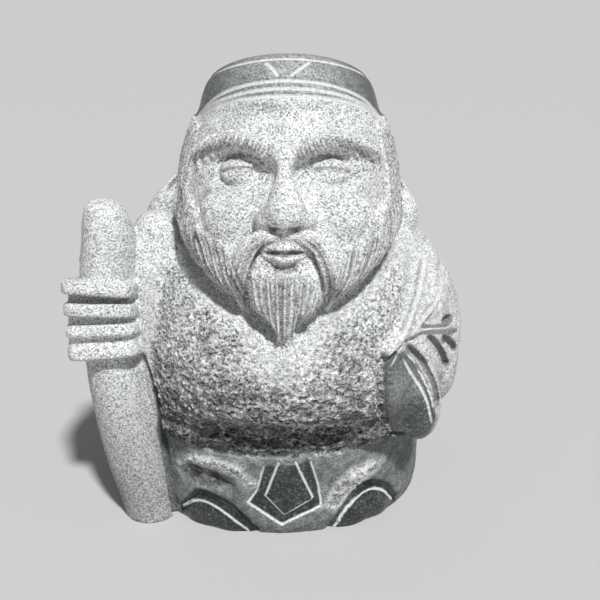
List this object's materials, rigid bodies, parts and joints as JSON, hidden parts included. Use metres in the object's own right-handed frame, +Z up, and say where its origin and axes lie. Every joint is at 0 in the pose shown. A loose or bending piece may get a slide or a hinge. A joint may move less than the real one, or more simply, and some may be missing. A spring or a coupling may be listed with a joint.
{
  "type": "carved stone figure",
  "caption": "Stocky old sage with a low cap, long beard and a staff held upright, carved in the round from one block of stone with a flat underside.",
  "frame": {"origin": "middle of the bounding box at the level of the flat underside", "axes": "+Z up, the face looks along -Y, +X to the viewer's right, on the figure's own left"},
  "size_m": [0.1528, 0.1216, 0.18],
  "materials": {
    "stone": "pecked light grey stone, rough-picked chest, cap and cuff rubbed smooth and darker"
  },
  "bodies": {
    "root": {"statue": "stone"}
  },
  "joints": []
}
